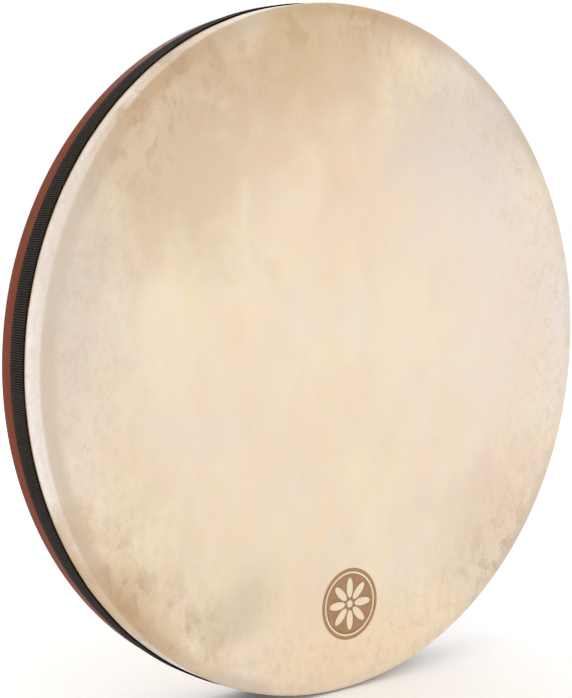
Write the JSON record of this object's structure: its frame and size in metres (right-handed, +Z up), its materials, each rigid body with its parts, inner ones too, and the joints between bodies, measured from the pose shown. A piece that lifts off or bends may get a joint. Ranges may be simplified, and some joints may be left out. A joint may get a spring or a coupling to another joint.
{
  "type": "frame drum",
  "caption": "Large shallow frame drum: a bent-wood hoop with a goat skin head, tacked down its side under a black woven ribbon, and a thumb hole in the rim.",
  "frame": {"origin": "on the ground under the middle of the drum, at the height of the lowest point of its rim, halfway through its depth", "axes": "+Z up across the drum, with the thumb hole at the bottom; the drum's axis runs along Y, the head faces -Y and the open back faces +Y"},
  "size_m": [0.5628, 0.061, 0.5623],
  "materials": {
    "hoop_wood": "hardwood stained reddish brown under a thin satin lacquer",
    "goat_skin": "natural cream goat skin, smooth and slightly waxy on the grain side, with clouded tan and grey patches near the rim",
    "ribbon_weave": "black grosgrain, ribs across its width, dull with a slight sheen on the ribs",
    "tack_steel": "blued steel"
  },
  "bodies": {
    "root": {"hoop": "hoop_wood", "skin_head": "goat_skin", "trim_ribbon": "ribbon_weave", "tack_01": "tack_steel", "tack_02": "tack_steel", "tack_03": "tack_steel", "tack_04": "tack_steel", "tack_05": "tack_steel", "tack_06": "tack_steel", "tack_07": "tack_steel", "tack_08": "tack_steel", "tack_09": "tack_steel", "tack_10": "tack_steel", "tack_11": "tack_steel", "tack_12": "tack_steel", "tack_13": "tack_steel", "tack_14": "tack_steel", "tack_15": "tack_steel", "tack_16": "tack_steel", "tack_17": "tack_steel", "tack_18": "tack_steel", "tack_19": "tack_steel", "tack_20": "tack_steel", "tack_21": "tack_steel", "tack_22": "tack_steel", "tack_23": "tack_steel", "tack_24": "tack_steel", "tack_25": "tack_steel", "tack_26": "tack_steel", "tack_27": "tack_steel", "tack_28": "tack_steel", "tack_29": "tack_steel", "tack_30": "tack_steel", "tack_31": "tack_steel", "tack_32": "tack_steel", "tack_33": "tack_steel", "tack_34": "tack_steel", "tack_35": "tack_steel", "tack_36": "tack_steel", "tack_37": "tack_steel", "tack_38": "tack_steel", "tack_39": "tack_steel", "tack_40": "tack_steel"}
  },
  "joints": []
}
